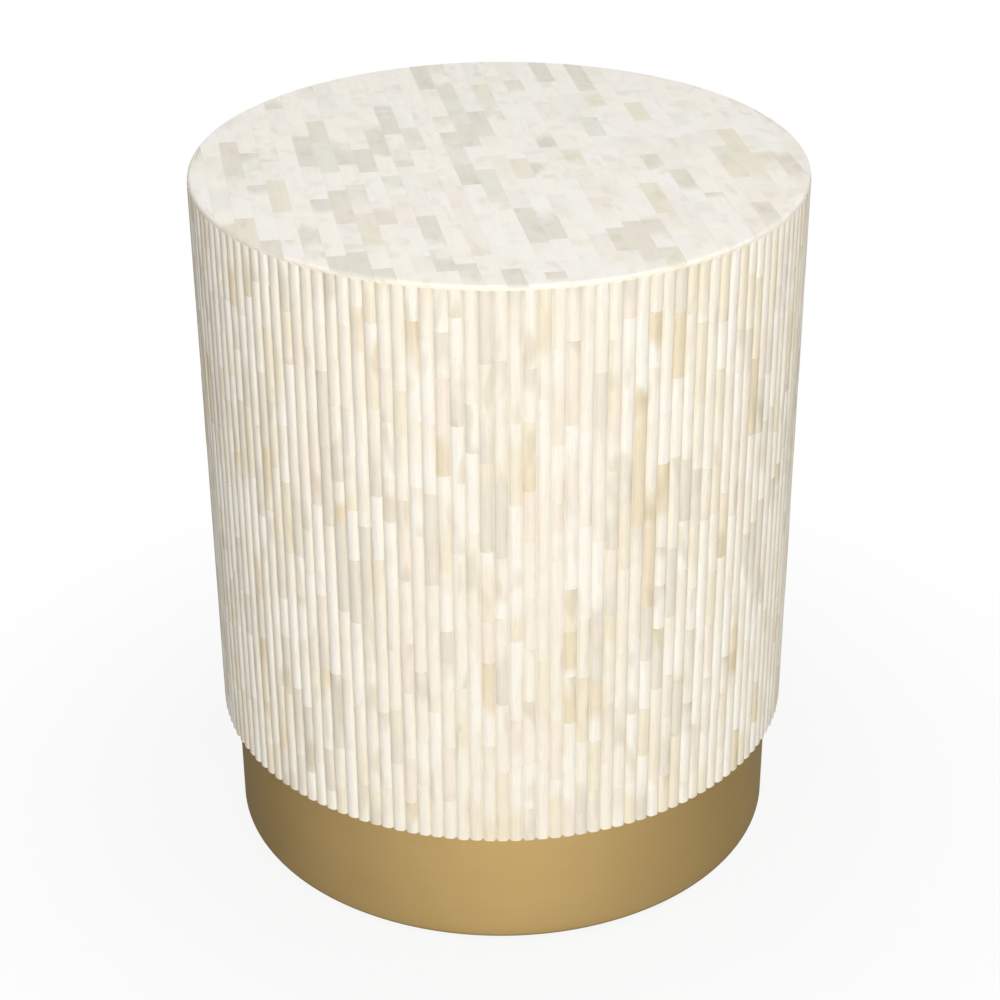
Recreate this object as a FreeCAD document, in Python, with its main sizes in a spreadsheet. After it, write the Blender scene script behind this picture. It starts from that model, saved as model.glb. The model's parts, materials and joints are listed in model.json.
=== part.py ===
import FreeCAD, Part
import math
import os

import Sketcher

# A round side table: a hollow ply drum faced with bone reeds and bone tiles, on a brass-clad plinth.
# Millimetres, +Z up, origin on the floor under the middle of the table.

doc = FreeCAD.newDocument("bone_inlay_side_table")

# Driving dimensions: name, size and meaning
DIMENSIONS = [
    ("drum_radius", 200.0, "drum over the crests of the reeds"),
    ("total_height", 483.0, "floor to the face of the tiles"),
    ("rim_height", 90.0, "floor to the lower ends of the reeds"),
    ("reed_count", 144, "bone reeds round the drum"),
    ("reeds_per_panel", 12, "reeds glued on as one panel"),
    ("reed_depth", 4.5, "back of a reed to its crest"),
    ("reed_width", 8.28, "width of a reed at its back"),
    ("reed_flats", 6, "flats that the half-round face is ground in"),
    ("tile_thickness", 3.0, "bone tiles of the top"),
    ("tile_length", 46.0, "usual length of a tile"),
    ("tile_joint", 0.2, "resin joint between tiles"),
    ("tile_edge_inset", 0.5, "edge of the tiled top inside the reed crests"),
    ("course_count", 33, "rows of tiles across the top"),
    ("courses_per_band", 3, "rows of tiles laid as one band"),
    ("course_angle", 10.0, "turn of the tile rows from the depth of the table"),
    ("ply_thickness", 3.5, "one layer of bending ply"),
    ("ply_seam", 0.5, "butt gap where a bent sheet closes"),
    ("board_thickness", 18.0, "drum boards, former ring and plinth top board"),
    ("former_bore", 130.0, "radius of the hole in the former ring"),
    ("upright_count", 6, "uprights, and the plinth blocks below them"),
    ("upright_inner", 158.0, "axis of the table to the inner face of an upright"),
    ("upright_depth", 30.0, "upright along the radius"),
    ("upright_width", 24.0, "upright across the radius"),
    ("tenon_length", 8.0, "stub tenon at each end of an upright"),
    ("tenon_width", 12.0, "stub tenon across the radius"),
    ("tenon_shoulder", 5.0, "shoulder beside a tenon along the radius"),
    ("plinth_radius", 190.5, "outside of the brass skirt"),
    ("brass_thickness", 1.2, "sheet of the brass skirt"),
    ("brass_return", 12.0, "skirt folded in under the plinth"),
    ("brass_seam", 0.4, "butt gap of the skirt at the back"),
    ("skirt_clearance", 3.0, "floor to the skirt"),
    ("wall_thickness", 4.0, "bent ply wall behind the brass"),
    ("base_thickness", 15.0, "board that closes the plinth below"),
    ("block_inner", 125.0, "axis of the table to the inner face of a plinth block"),
    ("block_depth", 30.0, "plinth block along the radius"),
    ("screw_head", 4.5, "radius of a screw's head"),
    ("screw_head_height", 2.2, "thickness of a screw's head"),
    ("screw_shank", 2.2, "radius of a screw's shank"),
    ("plinth_screw", 30.0, "screw from the plinth up into the drum, under its head"),
    ("base_screw", 35.0, "screw from the base board into a block, under its head"),
    ("plinth_screw_circle", 100.0, "radius of the ring of plinth screws"),
    ("felt_count", 4, "felt pads under the base board"),
    ("felt_inner", 152.0, "axis of the table to the inner edge of a felt pad"),
    ("felt_side", 24.0, "side of a square felt pad"),
]

sheet = doc.addObject("Spreadsheet::Sheet", "dims")
for row, (alias, value, meaning) in enumerate(DIMENSIONS, start=1):
    sheet.set(f"A{row}", alias)
    sheet.set(f"B{row}", str(value))
    sheet.setAlias(f"B{row}", alias)
    sheet.set(f"C{row}", meaning)
doc.recompute()

# Sizes that follow from the driving dimensions
SKIN_RADIUS = "dims.drum_radius - dims.reed_depth"
SKIN_JOINT = f"{SKIN_RADIUS} - dims.ply_thickness"
BOARD_RADIUS = f"{SKIN_JOINT} - dims.ply_thickness"
DRUM_TOP = "dims.total_height - dims.tile_thickness"
DRUM_HEIGHT = f"{DRUM_TOP} - dims.rim_height"
TOP_BOARD_UNDERSIDE = f"{DRUM_TOP} - dims.board_thickness"
BOTTOM_BOARD_TOP = "dims.rim_height + dims.board_thickness"
UPRIGHT_LENGTH = f"{TOP_BOARD_UNDERSIDE} - ({BOTTOM_BOARD_TOP})"
UPRIGHT_OUTER = "dims.upright_inner + dims.upright_depth"
TENON_FOOT = f"{BOTTOM_BOARD_TOP} - dims.tenon_length"
TENON_INNER = "dims.upright_inner + dims.tenon_shoulder"
TENON_OUTER = f"{UPRIGHT_OUTER} - dims.tenon_shoulder"
FORMER_LEVEL = f"({BOTTOM_BOARD_TOP} + {TOP_BOARD_UNDERSIDE} - dims.board_thickness) / 2"
PLINTH_TOP_UNDERSIDE = "dims.rim_height - dims.board_thickness"
BASE_UNDERSIDE = "dims.skirt_clearance + dims.brass_thickness"
BASE_TOP = f"{BASE_UNDERSIDE} + dims.base_thickness"
WALL_RADIUS = "dims.plinth_radius - dims.brass_thickness"
WALL_HEIGHT = f"dims.rim_height - ({BASE_UNDERSIDE})"
RETURN_RADIUS = "dims.plinth_radius - dims.brass_return"
PLINTH_BOARD_RADIUS = f"{WALL_RADIUS} - dims.wall_thickness"
BLOCK_OUTER = "dims.block_inner + dims.block_depth"
BLOCK_AXIS = "dims.block_inner + dims.block_depth / 2"
BLOCK_HEIGHT = f"{PLINTH_TOP_UNDERSIDE} - ({BASE_TOP})"

# Seams of the bent sheets, in degrees round the table: none in line, the brass one at the back
OUTER_PLY_SEAM_ANGLE = 75.0
INNER_PLY_SEAM_ANGLE = 255.0
WALL_SEAM_ANGLE = 15.0
BRASS_SEAM_ANGLE = 90.0

# Rhythm of the tile joints: each course starts at another part of a tile, and no two tiles are alike
COURSE_SHIFT = 0.382
FIRST_TILE_LEAST = 0.3
LAST_TILE_LEAST = 0.35
LENGTH_SPREAD = 0.32
COURSE_PHASE = 2.1
TILE_PHASE = 3.7

FULL_TURN = 360.0
HALF_TURN = 180.0
HEXAGON_SIDES = 6
LEAST_CUT = 1e-3
AXIS_UP = FreeCAD.Vector(0, 0, 1)

# How a sketch names its centre point and its horizontal axis
CENTRE_POINT = (-1, 1)
ACROSS_AXIS = -1

nodes = []


def size(expression):
    """Value of a size, in millimetres."""
    return float(sheet.evalExpression(expression))


def count_of(expression):
    """Value of a count."""
    return int(round(size(expression)))


def turned(angle, level=0.0):
    """Placement turned round the table's axis and raised to a level."""
    return FreeCAD.Placement(FreeCAD.Vector(0, 0, level), FreeCAD.Rotation(AXIS_UP, angle))


def round_the_table(count):
    """Angles that share the full turn."""
    return [index * FULL_TURN / count for index in range(count)]


def new_body(label, angle=0.0):
    """Empty sub-part, turned round the table's axis."""
    body = doc.addObject("PartDesign::Body", label)
    body.Label = label
    body.AllowCompound = True
    body.Placement = turned(angle)
    nodes.append(body)
    return body


def origin_feature(body, role):
    """Plane or axis of a sub-part's own origin."""
    return next(feature for feature in body.Origin.OriginFeatures if feature.Role == role)


# Sketches


def level_sketch(body, name, level):
    """Sketch on a horizontal plane at a level above the floor."""
    sketch = body.newObject("Sketcher::SketchObject", f"{body.Name}_{name}")
    sketch.AttachmentSupport = [(origin_feature(body, "XY_Plane"), "")]
    sketch.MapMode = "FlatFace"
    sketch.setExpression("AttachmentOffset.Base.z", level)
    return sketch


def section_sketch(body, name):
    """Sketch on the upright plane through the table's axis: along the radius, then up."""
    sketch = body.newObject("Sketcher::SketchObject", f"{body.Name}_{name}")
    sketch.AttachmentSupport = [(origin_feature(body, "XZ_Plane"), "")]
    sketch.MapMode = "FlatFace"
    return sketch


def bind(sketch, constraint, name, expression):
    """Add a dimension to a sketch and tie it to the sheet."""
    index = sketch.addConstraint(constraint)
    sketch.renameConstraint(index, name)
    sketch.setExpression(f"Constraints.{name}", expression)


def closed_lines(sketch, points):
    """Straight edges round a closed outline, joined at their ends: edge k starts at point k."""
    pairs = zip(points, points[1:] + points[:1])
    edges = [sketch.addGeometry(Part.LineSegment(start, end)) for start, end in pairs]
    for first, second in zip(edges, edges[1:] + edges[:1]):
        sketch.addConstraint(Sketcher.Constraint("Coincident", first, 2, second, 1))
    return edges


def circle(sketch, name, radius):
    """Circle round the table's axis."""
    value = size(radius)
    edge = sketch.addGeometry(Part.Circle(FreeCAD.Vector(0, 0, 0), AXIS_UP, value))
    sketch.addConstraint(Sketcher.Constraint("Coincident", edge, 3, *CENTRE_POINT))
    bind(sketch, Sketcher.Constraint("Radius", edge, value), name, radius)


def bar(sketch, start, end, width):
    """Rectangle along the radius, centred on it."""
    near, far, half = size(start), size(end), size(width) / 2
    corners = [(near, -half), (far, -half), (far, half), (near, half)]
    points = [FreeCAD.Vector(x, y, 0) for x, y in corners]
    low, outer, high, _ = closed_lines(sketch, points)
    sketch.addConstraint(Sketcher.Constraint("Horizontal", low))
    sketch.addConstraint(Sketcher.Constraint("Horizontal", high))
    sketch.addConstraint(Sketcher.Constraint("Vertical", outer))
    sketch.addConstraint(Sketcher.Constraint("Symmetric", low, 1, high, 2, ACROSS_AXIS))
    bind(sketch, Sketcher.Constraint("DistanceX", *CENTRE_POINT, low, 1, near), "start", start)
    bind(sketch, Sketcher.Constraint("DistanceX", *CENTRE_POINT, low, 2, far), "end", end)
    bind(sketch, Sketcher.Constraint("DistanceY", outer, 1, outer, 2, 2 * half), "width", width)


def hexagon(sketch, centre, radius):
    """Regular hexagon centred on the radius, with a corner on it."""
    middle, reach = size(centre), size(radius)
    angles = [index * 2 * math.pi / HEXAGON_SIDES for index in range(HEXAGON_SIDES)]
    points = [FreeCAD.Vector(middle + reach * math.cos(a), reach * math.sin(a), 0) for a in angles]
    edges = closed_lines(sketch, points)
    rim = sketch.addGeometry(Part.Circle(FreeCAD.Vector(middle, 0, 0), AXIS_UP, reach), True)
    for edge in edges:
        sketch.addConstraint(Sketcher.Constraint("PointOnObject", edge, 1, rim))
    for edge in edges[1:]:
        sketch.addConstraint(Sketcher.Constraint("Equal", edges[0], edge))
    sketch.addConstraint(Sketcher.Constraint("PointOnObject", rim, 3, ACROSS_AXIS))
    sketch.addConstraint(Sketcher.Constraint("PointOnObject", edges[0], 1, ACROSS_AXIS))
    bind(sketch, Sketcher.Constraint("DistanceX", *CENTRE_POINT, rim, 3, middle), "centre", centre)
    bind(sketch, Sketcher.Constraint("Radius", rim, reach), "reach", radius)


def outline(sketch, corners):
    """Closed outline through corners given as a distance from the axis and a height."""
    points = [FreeCAD.Vector(size(x), size(y), 0) for x, y in corners]
    edges = closed_lines(sketch, points)
    for number, (edge, point, (x, y)) in enumerate(zip(edges, points, corners)):
        bind(sketch, Sketcher.Constraint("DistanceX", *CENTRE_POINT, edge, 1, point.x), f"x{number}", x)
        bind(sketch, Sketcher.Constraint("DistanceY", *CENTRE_POINT, edge, 1, point.y), f"y{number}", y)


# Features


def pad(body, sketch, height):
    """Raise a level sketch into a solid."""
    feature = body.newObject("PartDesign::Pad", f"{sketch.Name}_pad")
    feature.Profile = sketch
    feature.setExpression("Length", height)
    doc.recompute()
    return feature


def pocket_up(body, sketch, height):
    """Cut a level sketch upwards out of the sub-part, and stop if the cut misses it."""
    before = body.Shape.Volume
    feature = body.newObject("PartDesign::Pocket", f"{sketch.Name}_pocket")
    feature.Profile = sketch
    feature.Reversed = True
    feature.setExpression("Length", height)
    doc.recompute()
    if feature.Shape.Volume > before - LEAST_CUT:
        raise RuntimeError(f"{feature.Name} cuts nothing out of {body.Label}")
    return feature


def ring_of(body, features, count, angle=str(FULL_TURN)):
    """Repeat features round the table's axis: all the way round, or over an angle."""
    pattern = body.newObject("PartDesign::PolarPattern", f"{features[0].Name}_ring")
    pattern.Originals = features
    pattern.Axis = (origin_feature(body, "Z_Axis"), [""])
    pattern.setExpression("Occurrences", count)
    pattern.setExpression("Angle", angle)
    body.Tip = pattern
    doc.recompute()


# Pieces that occur more than once


def disc(label, radius, level, thickness):
    """Round board."""
    body = new_body(label)
    sketch = level_sketch(body, "disc", level)
    circle(sketch, "radius", radius)
    pad(body, sketch, thickness)
    return body


def bent_sheet(label, outer, inner, level, height, seam_angle):
    """Sheet bent into a ring, whose ends meet in a butt seam."""
    body = new_body(label, seam_angle)
    sketch = level_sketch(body, "ring", level)
    circle(sketch, "outer", outer)
    circle(sketch, "inner", inner)
    pad(body, sketch, height)
    seam = level_sketch(body, "seam", level)
    bar(seam, f"{inner} - dims.ply_seam", f"{outer} + dims.ply_seam", "dims.ply_seam")
    pocket_up(body, seam, height)


def mortises(body, level):
    """Ring of mortises for the uprights' tenons."""
    sketch = level_sketch(body, "mortise", level)
    bar(sketch, TENON_INNER, TENON_OUTER, "dims.tenon_width")
    ring_of(body, [pocket_up(body, sketch, "dims.tenon_length")], "dims.upright_count")


def screw_hole(body, centre, level, depth):
    """Hole that a screw fills, from a level upwards."""
    sketch = level_sketch(body, "screw_hole", level)
    hexagon(sketch, centre, "dims.screw_shank")
    return pocket_up(body, sketch, depth)


def screws(label, centre, level, length):
    """Ring of screws driven up, with their heads under a board. Six flats stand for the round of each."""
    body = new_body(label)
    head_sketch = level_sketch(body, "head", f"{level} - dims.screw_head_height")
    hexagon(head_sketch, centre, "dims.screw_head")
    head = pad(body, head_sketch, "dims.screw_head_height")
    shank_sketch = level_sketch(body, "shank", level)
    hexagon(shank_sketch, centre, "dims.screw_shank")
    shank = pad(body, shank_sketch, length)
    ring_of(body, [head, shank], "dims.upright_count")


# Carcass of the drum: uprights tenoned into two boards, and a former ring half way up, notched round them

bottom_board = disc("drum_bottom_board", BOARD_RADIUS, "dims.rim_height", "dims.board_thickness")
mortises(bottom_board, TENON_FOOT)
drum_hole = screw_hole(
    bottom_board,
    "dims.plinth_screw_circle",
    "dims.rim_height",
    "dims.plinth_screw - dims.board_thickness",
)
ring_of(bottom_board, [drum_hole], "dims.upright_count")

top_board = disc("drum_top_board", BOARD_RADIUS, TOP_BOARD_UNDERSIDE, "dims.board_thickness")
mortises(top_board, TOP_BOARD_UNDERSIDE)

former = new_body("drum_former_ring")
former_sketch = level_sketch(former, "ring", FORMER_LEVEL)
circle(former_sketch, "outer", BOARD_RADIUS)
circle(former_sketch, "bore", "dims.former_bore")
pad(former, former_sketch, "dims.board_thickness")
notch_sketch = level_sketch(former, "notch", FORMER_LEVEL)
bar(notch_sketch, "dims.upright_inner", f"{UPRIGHT_OUTER} + dims.upright_depth", "dims.upright_width")
notch = pocket_up(former, notch_sketch, "dims.board_thickness")
ring_of(former, [notch], "dims.upright_count")

upright_angles = round_the_table(count_of("dims.upright_count"))
for number, angle in enumerate(upright_angles, start=1):
    upright = new_body(f"drum_upright_{number}", angle)
    upright_sketch = level_sketch(upright, "section", BOTTOM_BOARD_TOP)
    bar(upright_sketch, "dims.upright_inner", UPRIGHT_OUTER, "dims.upright_width")
    pad(upright, upright_sketch, UPRIGHT_LENGTH)
    tenon_sketch = level_sketch(upright, "tenon", TENON_FOOT)
    bar(tenon_sketch, TENON_INNER, TENON_OUTER, "dims.tenon_width")
    pad(upright, tenon_sketch, f"{UPRIGHT_LENGTH} + 2 * dims.tenon_length")

# Skin of the drum: two layers of bending ply with their seams apart

bent_sheet("drum_inner_ply", SKIN_JOINT, BOARD_RADIUS, "dims.rim_height", DRUM_HEIGHT, INNER_PLY_SEAM_ANGLE)
bent_sheet("drum_outer_ply", SKIN_RADIUS, SKIN_JOINT, "dims.rim_height", DRUM_HEIGHT, OUTER_PLY_SEAM_ANGLE)

# Bone reeds: half-round strips glued side by side round the skin, in panels


def reed_section(sketch):
    """Flat back on the skin and a half-round face in flats, the same on both sides of the crest."""
    flats = count_of("dims.reed_flats")
    angles = [HALF_TURN * (step / flats - 0.5) for step in range(flats + 1)]
    depths = [f"{SKIN_RADIUS} + dims.reed_depth * cos({angle})" for angle in angles]
    offsets = [f"dims.reed_width / 2 * sin({angle})" for angle in angles]
    points = [FreeCAD.Vector(size(x), size(y), 0) for x, y in zip(depths, offsets)]
    edges = closed_lines(sketch, points)
    crest = flats // 2
    sketch.addConstraint(Sketcher.Constraint("PointOnObject", edges[crest], 1, ACROSS_AXIS))
    for step in range(crest, flats + 1):
        edge, point = edges[step], points[step]
        bind(sketch, Sketcher.Constraint("DistanceX", *CENTRE_POINT, edge, 1, point.x), f"x{step}", depths[step])
        if step > crest:
            across = Sketcher.Constraint("DistanceY", *CENTRE_POINT, edge, 1, point.y)
            bind(sketch, across, f"y{step}", offsets[step])
            mirrored = edges[flats - step]
            sketch.addConstraint(Sketcher.Constraint("Symmetric", edge, 1, mirrored, 1, ACROSS_AXIS))


PANEL_TURN = f"(dims.reeds_per_panel - 1) * {FULL_TURN} / dims.reed_count"
panel_angles = round_the_table(count_of("dims.reed_count / dims.reeds_per_panel"))
for number, angle in enumerate(panel_angles, start=1):
    panel = new_body(f"bone_reeds_{number:02d}", angle)
    reed_sketch = level_sketch(panel, "reed", "dims.rim_height")
    reed_section(reed_sketch)
    reed = pad(panel, reed_sketch, DRUM_HEIGHT)
    ring_of(panel, [reed], "dims.reeds_per_panel", PANEL_TURN)

# Tiled top: straight courses of bone tiles with staggered joints, trimmed to the round of the drum


def half_chord(radius, offset):
    """Half the length of a chord at a distance from the centre."""
    return math.sqrt(max(radius * radius - offset * offset, 0.0))


def course_joints(course, radius, left, right):
    """Ends of the tiles along one course: uneven lengths, with the first joint shifted at each course."""
    usual = size("dims.tile_length")
    reach = half_chord(radius, min(abs(left), abs(right)))
    middle_reach = half_chord(radius, (left + right) / 2)
    first_part = (course * COURSE_SHIFT) % 1.0
    position = -middle_reach + usual * (FIRST_TILE_LEAST + (1 - FIRST_TILE_LEAST) * first_part)
    joints = [-reach]
    while position < middle_reach - LAST_TILE_LEAST * usual:
        joints.append(position)
        swing = math.sin(COURSE_PHASE * course + TILE_PHASE * len(joints))
        position += usual * (1.0 + LENGTH_SPREAD * swing)
    return joints + [reach]


def course_tiles(course, radius, thickness):
    """Tiles of one course as separate solids, laid along Y."""
    gap = size("dims.tile_joint")
    width = 2 * radius / size("dims.course_count")
    left = -radius + course * width
    top_disc = Part.makeCylinder(radius, thickness)
    joints = course_joints(course, radius, left, left + width)
    tiles = []
    for start, end in zip(joints, joints[1:]):
        corner = FreeCAD.Vector(left + gap / 2, start + gap / 2, 0)
        tile = Part.makeBox(width - gap, end - start - gap, thickness, corner)
        farthest = max(math.hypot(vertex.X, vertex.Y) for vertex in tile.Vertexes)
        if farthest > radius:
            tile = tile.common(top_disc)
        tiles.extend(tile.Solids)
    return tiles


tile_radius = size("dims.drum_radius - dims.tile_edge_inset")
tile_thickness = size("dims.tile_thickness")
courses_per_band = count_of("dims.courses_per_band")
for band in range(count_of("dims.course_count") // courses_per_band):
    courses = range(band * courses_per_band, (band + 1) * courses_per_band)
    tiles = [tile for course in courses for tile in course_tiles(course, tile_radius, tile_thickness)]
    label = f"bone_tiles_{band + 1:02d}"
    tile_band = doc.addObject("Part::Feature", label)
    tile_band.Label = label
    tile_band.Shape = Part.makeCompound(tiles)
    tile_band.Placement = turned(size("dims.course_angle"), size(DRUM_TOP))
    nodes.append(tile_band)

# Plinth: a bent wall round two boards, blocks under the uprights, and a brass skirt round it all

plinth_top = disc("plinth_top_board", PLINTH_BOARD_RADIUS, PLINTH_TOP_UNDERSIDE, "dims.board_thickness")
plinth_hole = screw_hole(plinth_top, "dims.plinth_screw_circle", PLINTH_TOP_UNDERSIDE, "dims.board_thickness")
ring_of(plinth_top, [plinth_hole], "dims.upright_count")
screws("plinth_screws", "dims.plinth_screw_circle", PLINTH_TOP_UNDERSIDE, "dims.plinth_screw")

bent_sheet("plinth_wall", WALL_RADIUS, PLINTH_BOARD_RADIUS, BASE_UNDERSIDE, WALL_HEIGHT, WALL_SEAM_ANGLE)

for number, angle in enumerate(upright_angles, start=1):
    block = new_body(f"plinth_block_{number}", angle)
    block_sketch = level_sketch(block, "section", BASE_TOP)
    bar(block_sketch, "dims.block_inner", BLOCK_OUTER, "dims.upright_width")
    pad(block, block_sketch, BLOCK_HEIGHT)
    screw_hole(block, BLOCK_AXIS, BASE_TOP, "dims.base_screw - dims.base_thickness")

skirt = new_body("brass_skirt", BRASS_SEAM_ANGLE)
skirt_sketch = section_sketch(skirt, "section")
outline(
    skirt_sketch,
    [
        (RETURN_RADIUS, "dims.skirt_clearance"),
        ("dims.plinth_radius", "dims.skirt_clearance"),
        ("dims.plinth_radius", "dims.rim_height"),
        (WALL_RADIUS, "dims.rim_height"),
        (WALL_RADIUS, BASE_UNDERSIDE),
        (RETURN_RADIUS, BASE_UNDERSIDE),
    ],
)
skirt_turn = skirt.newObject("PartDesign::Revolution", "brass_skirt_turn")
skirt_turn.Profile = skirt_sketch
skirt_turn.ReferenceAxis = (skirt_sketch, ["V_Axis"])
skirt_turn.setExpression("Angle", f"{FULL_TURN} * (1 - dims.brass_seam / (2 * pi * dims.plinth_radius))")

# Underside: the base board with its screws, and felt pads glued to it

base_board = disc("plinth_base_board", PLINTH_BOARD_RADIUS, BASE_UNDERSIDE, "dims.base_thickness")
base_hole = screw_hole(base_board, BLOCK_AXIS, BASE_UNDERSIDE, "dims.base_thickness")
ring_of(base_board, [base_hole], "dims.upright_count")
screws("base_screws", BLOCK_AXIS, BASE_UNDERSIDE, "dims.base_screw")

for number, angle in enumerate(round_the_table(count_of("dims.felt_count")), start=1):
    felt = new_body(f"felt_pad_{number}", angle)
    felt_sketch = level_sketch(felt, "section", "0")
    bar(felt_sketch, "dims.felt_inner", "dims.felt_inner + dims.felt_side", "dims.felt_side")
    pad(felt, felt_sketch, BASE_UNDERSIDE)

# Check every piece, then write one file for each

doc.recompute()
for item in doc.Objects:
    if "Invalid" in item.State or "Error" in item.State:
        raise RuntimeError(f"{item.Name} failed: {item.State}")
for node in nodes:
    if node.Shape.isNull() or not node.Shape.isValid():
        raise RuntimeError(f"{node.Label} has no valid shape")

os.makedirs("parts", exist_ok=True)
for node in nodes:
    node.Shape.exportStep(f"parts/{node.Label}.step")
    print(f"{node.Label}: {len(node.Shape.Solids)} solids, {node.Shape.Volume / 1000:.1f} cm3")
print(f"{len(nodes)} nodes")
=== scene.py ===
# %% [markdown]
# # A bone inlay side table
#
# The table is a hollow drum on a low plinth. Strips of bone stand side by side round the drum, bone tiles
# lie in rows on its top, and a sheet of brass wraps the plinth.
#
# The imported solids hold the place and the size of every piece. They could simply be painted, but their
# bone is plain: one strip to a reed, and sharp edges. So the solids stay as a fixed frame, and each one
# that shows is swapped for a finer mesh in the same place.

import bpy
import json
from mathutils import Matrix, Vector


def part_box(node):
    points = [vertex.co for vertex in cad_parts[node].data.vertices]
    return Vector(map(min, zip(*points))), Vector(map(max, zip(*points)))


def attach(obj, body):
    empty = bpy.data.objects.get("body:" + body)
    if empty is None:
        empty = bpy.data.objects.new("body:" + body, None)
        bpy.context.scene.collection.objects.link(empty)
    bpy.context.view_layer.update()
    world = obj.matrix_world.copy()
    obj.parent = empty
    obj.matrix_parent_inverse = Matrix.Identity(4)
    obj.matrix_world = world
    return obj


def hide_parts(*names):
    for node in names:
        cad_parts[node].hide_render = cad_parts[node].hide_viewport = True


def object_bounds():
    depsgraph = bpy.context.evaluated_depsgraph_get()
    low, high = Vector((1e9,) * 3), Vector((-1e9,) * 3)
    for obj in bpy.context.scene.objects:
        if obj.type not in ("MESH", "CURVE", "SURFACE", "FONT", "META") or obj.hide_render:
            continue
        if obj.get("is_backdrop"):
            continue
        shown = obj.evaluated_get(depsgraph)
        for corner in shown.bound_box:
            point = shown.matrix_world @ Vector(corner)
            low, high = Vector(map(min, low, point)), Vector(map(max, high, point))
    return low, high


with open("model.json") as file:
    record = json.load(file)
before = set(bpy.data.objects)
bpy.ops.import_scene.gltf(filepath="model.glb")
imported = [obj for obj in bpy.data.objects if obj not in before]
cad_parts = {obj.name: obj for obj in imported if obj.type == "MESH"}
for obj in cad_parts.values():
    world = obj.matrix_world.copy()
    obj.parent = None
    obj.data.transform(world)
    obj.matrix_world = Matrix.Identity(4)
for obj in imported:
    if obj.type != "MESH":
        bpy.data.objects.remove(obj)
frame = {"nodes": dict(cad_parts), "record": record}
cad_low, cad_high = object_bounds()
across, _, tall = cad_high - cad_low
print(f"{len(frame['nodes'])} solids, {across:.3f} m across and {tall:.3f} m high")

# %% [markdown]
# ## Tools for the work
#
# Every new piece has to move with the table, take its finishes and hide the solid that it stands for.
# Three calls do that. They could be written out at each piece, but one helper makes them together
# and none is forgotten.

# %% Add a piece to the table
import json
import math
import random
from collections import namedtuple

import bmesh
import bpy
from mathutils import Matrix, Vector, noise

SMOOTH_BELOW = 35.0


def add_piece(name, bm, solid, finishes, smooth_below=SMOOTH_BELOW):
    """Turn a mesh in the making into a piece that stands for one of the solids."""
    mesh = bpy.data.meshes.new(name)
    bm.to_mesh(mesh)
    bm.free()
    for finish in finishes:
        mesh.materials.append(finish)
    mesh.shade_smooth()
    mesh.set_sharp_from_angle(angle=math.radians(smooth_below))
    piece = bpy.data.objects.new(name, mesh)
    bpy.context.scene.collection.objects.link(piece)
    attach(piece, "root")
    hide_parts(solid)


def solids_named(start):
    """Names of the solids that begin with some words, in order."""
    return sorted(name for name in frame["nodes"] if name.startswith(start))


print("Blender", bpy.app.version_string, "is ready for new pieces")

# %% [markdown]
# Blender mixes light in linear numbers, while people name colours as they look on a screen. The colours
# here are written as they look, from 0 to 255, and one function turns them into linear ones.

# %% Write colours as they look


def colour(red, green, blue):
    """Linear colour with full alpha, from the three values of an sRGB screen."""
    shares = [value / 255 for value in (red, green, blue)]
    linear = [share / 12.92 if share <= 0.04045 else ((share + 0.055) / 1.055) ** 2.4 for share in shares]
    return (*linear, 1.0)


print(f"188 on the screen is {colour(188, 188, 188)[0]:.2f} in linear light")

# %% [markdown]
# A finish is a tree of nodes. They could be placed by hand in the editor, but code is easier to read and
# to repeat. `node` adds one, and links every input that is given as another node's output.

# %% Add and link nodes


def new_finish(name):
    """Material with its main shader, and the tree that holds them."""
    material = bpy.data.materials.new(name)
    material.use_nodes = True
    tree = material.node_tree
    return material, tree, tree.nodes["Principled BSDF"]


def node(tree, kind, inputs, **settings):
    """Add a node, and set or link its inputs."""
    made = tree.nodes.new(f"ShaderNode{kind}")
    for setting, value in settings.items():
        setattr(made, setting, value)
    for key, value in inputs.items():
        if isinstance(value, bpy.types.NodeSocket):
            tree.links.new(value, made.inputs[key])
        else:
            made.inputs[key].default_value = value
    return made


def place_on(tree):
    """Place of the shaded point, as its object measures it."""
    return node(tree, "TexCoord", {}).outputs["Object"]


def attribute(tree, name, output):
    """Value that a mesh carries on its vertices."""
    return node(tree, "Attribute", {}, attribute_name=name).outputs[output]


kinds = [name for name in dir(bpy.types) if name.startswith("ShaderNode")]
print(len(kinds), "kinds of shader node to choose from")

# %% [markdown]
# The finishes share a few steps: a noise drawn out along the grain, a range of values, a blend of two
# colours, a product with a sum, and hollows too fine to model. Each step could be spelled out where it is
# used, but with small functions a finish reads as a list of what is seen on it. A noise seldom leaves the
# middle of its range, so roughness is spread from there.

# %% Name the steps of a finish

NOISE_MIDDLE = (0.3, 0.7)


def grain(tree, place, cells, detail, turn=0.0):
    """Noise with its own number of cells per metre along X, Y and Z, turned about Z."""
    turned = node(tree, "Mapping", {"Vector": place, "Rotation": (0.0, 0.0, -turn)}).outputs["Vector"]
    drawn = node(tree, "Mapping", {"Vector": turned, "Scale": cells}).outputs["Vector"]
    return node(tree, "TexNoise", {"Vector": drawn, "Scale": 1.0, "Detail": detail}).outputs["Fac"]


def spread(tree, value, source, target):
    """Value moved from one range to another, and held inside it."""
    (low, high), (to_low, to_high) = source, target
    inputs = {"Value": value, "From Min": low, "From Max": high, "To Min": to_low, "To Max": to_high}
    return node(tree, "MapRange", inputs).outputs["Result"]


def blend(tree, share, first, second, kind="MIX"):
    """Second colour laid over the first one by a share."""
    return node(tree, "Mix", {0: share, 6: first, 7: second}, data_type="RGBA", blend_type=kind).outputs[2]


def times_plus(tree, value, factor, added):
    """Value times a factor, with something added."""
    return node(tree, "Math", {0: value, 1: factor, 2: added}, operation="MULTIPLY_ADD").outputs[0]


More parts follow.
